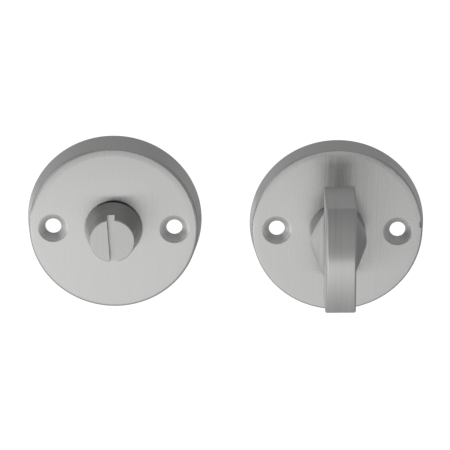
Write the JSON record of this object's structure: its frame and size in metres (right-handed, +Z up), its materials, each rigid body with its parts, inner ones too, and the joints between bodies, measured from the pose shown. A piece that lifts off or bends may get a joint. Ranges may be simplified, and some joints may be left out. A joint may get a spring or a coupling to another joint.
{
  "type": "bathroom thumb turn lock",
  "caption": "Round satin steel bathroom lock: inside rose with a bar-shaped thumb turn and spindle, and outside rose with a slotted emergency release knob.",
  "frame": {"origin": "the thumb turn's axis on the plane where its rose meets the door", "axes": "+X to the right as seen from the front, +Y back into the door along the spindle, +Z up"},
  "size_m": [0.1252, 0.0918, 0.0557],
  "materials": {
    "satin_steel": "satin, brushed upright on the face and round the rim",
    "satin_steel_turned": "satin, brushed along the grip and round the boss",
    "carrier_nylon": "moulded, fine matt",
    "bush_nylon": "turned, smooth",
    "spring_steel": "phosphated, dark",
    "plated_steel": "bright zinc plated"
  },
  "bodies": {
    "roses": {"turn_rose": "satin_steel", "turn_carrier": "carrier_nylon", "turn_bush": "bush_nylon", "turn_wave_washer": "spring_steel", "release_rose": "satin_steel", "release_carrier": "carrier_nylon", "release_bush": "bush_nylon", "release_wave_washer": "spring_steel"},
    "turn": {"thumb_turn": "satin_steel_turned", "turn_flat_washer": "plated_steel", "turn_circlip": "spring_steel", "spindle": "plated_steel"},
    "release": {"release_knob": "satin_steel_turned", "release_flat_washer": "plated_steel", "release_circlip": "spring_steel"}
  },
  "joints": [
    {"name": "turn_pivot", "type": "hinge", "parent": "roses", "child": "turn", "pos_m": [0, -0.0053, 0], "axis": [0, 1, 0], "range_deg": [-90, 90]},
    {"name": "release_pivot", "type": "hinge", "parent": "roses", "child": "release", "pos_m": [-0.0702, -0.0072, 0.00075], "axis": [0, 1, 0], "range_deg": [-90, 90]}
  ]
}
